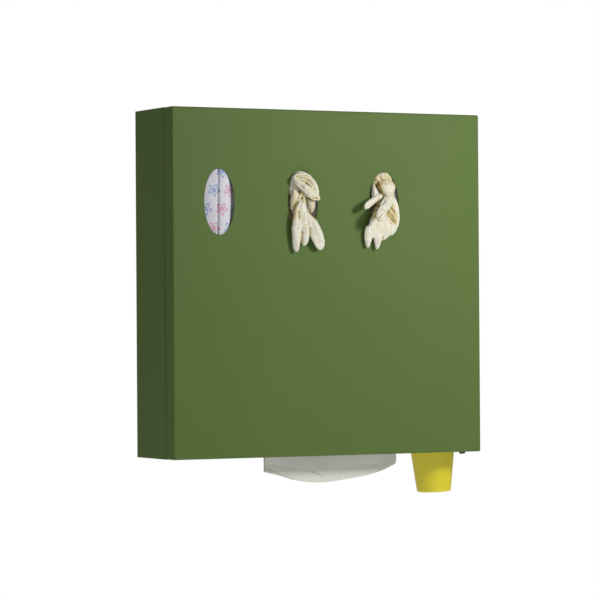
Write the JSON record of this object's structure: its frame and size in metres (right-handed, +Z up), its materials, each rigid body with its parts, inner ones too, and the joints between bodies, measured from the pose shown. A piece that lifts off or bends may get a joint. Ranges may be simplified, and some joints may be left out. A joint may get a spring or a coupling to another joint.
{
  "type": "wall dispenser cabinet",
  "caption": "Square wall-hung sheet-metal cabinet whose hinged door has upright oval slots for masks and gloves, with paper towels and a cup tube that open below.",
  "frame": {"origin": "centre of the four wall-fixing holes, on the back plane of the cabinet", "axes": "+X right as seen from the front, +Y into the wall along the fixing screws, +Z up"},
  "size_m": [0.545, 0.1737, 0.6072],
  "materials": {
    "green_paint": "satin powder coat",
    "stainless": "brushed",
    "zinc_steel": "zinc plated",
    "white_card": "coated card",
    "nonwoven": "soft nonwoven",
    "latex": "powdered latex",
    "towel_paper": "embossed paper",
    "yellow_cup": "thin moulded plastic",
    "white_plastic": "moulded",
    "nylon": "moulded",
    "dark_plastic": "moulded",
    "magnet": "sintered",
    "buffer_rubber": "moulded"
  },
  "bodies": {
    "root": {"body_shell": "green_paint", "top_panel": "green_paint", "bottom_panel": "green_paint", "shelf": "green_paint", "towel_divider_left": "stainless", "towel_divider_right": "stainless", "towel_front_plate": "stainless", "towel_stack": "towel_paper", "towel_leaf_front": "towel_paper", "towel_leaf_rear": "towel_paper", "cup_tube": "white_plastic", "cup_collar": "white_plastic", "cup_lowest": "yellow_cup", "cup_stack": "yellow_cup", "tube_clip_lower": "stainless", "tube_clip_upper": "stainless", "hinge_bracket_lower": "zinc_steel", "hinge_bracket_upper": "zinc_steel", "hinge_pins": "zinc_steel", "catch_body": "white_plastic", "catch_magnet": "magnet", "catch_screws": "zinc_steel", "door_buffers": "buffer_rubber"},
    "door": {"door_panel": "green_paint", "hinge_bushes": "nylon", "strike_bracket": "zinc_steel", "mask_holder": "stainless", "glove_holder_middle": "stainless", "glove_holder_right": "stainless", "weld_studs": "zinc_steel", "stud_nuts": "zinc_steel", "mask_box": "white_card", "glove_box_middle": "white_card", "glove_box_right": "white_card", "mask_stack": "nonwoven", "glove_pack_middle": "latex", "glove_pack_right": "latex", "glove_middle": "latex", "glove_right": "latex", "latch_housing": "zinc_steel", "latch_nut": "zinc_steel"},
    "latch": {"latch_spindle": "dark_plastic", "latch_cam": "zinc_steel", "cam_screw": "zinc_steel"}
  },
  "joints": [
    {"name": "door_hinge", "type": "hinge", "parent": "root", "child": "door", "pos_m": [-0.265, -0.1265, 0], "axis": [0, 0, -1], "range_deg": [0, 95]},
    {"name": "latch_turn", "type": "hinge", "parent": "door", "child": "latch", "pos_m": [0.245, -0.122, -0.27], "axis": [0, 0, -1], "range_deg": [0, 90]}
  ]
}
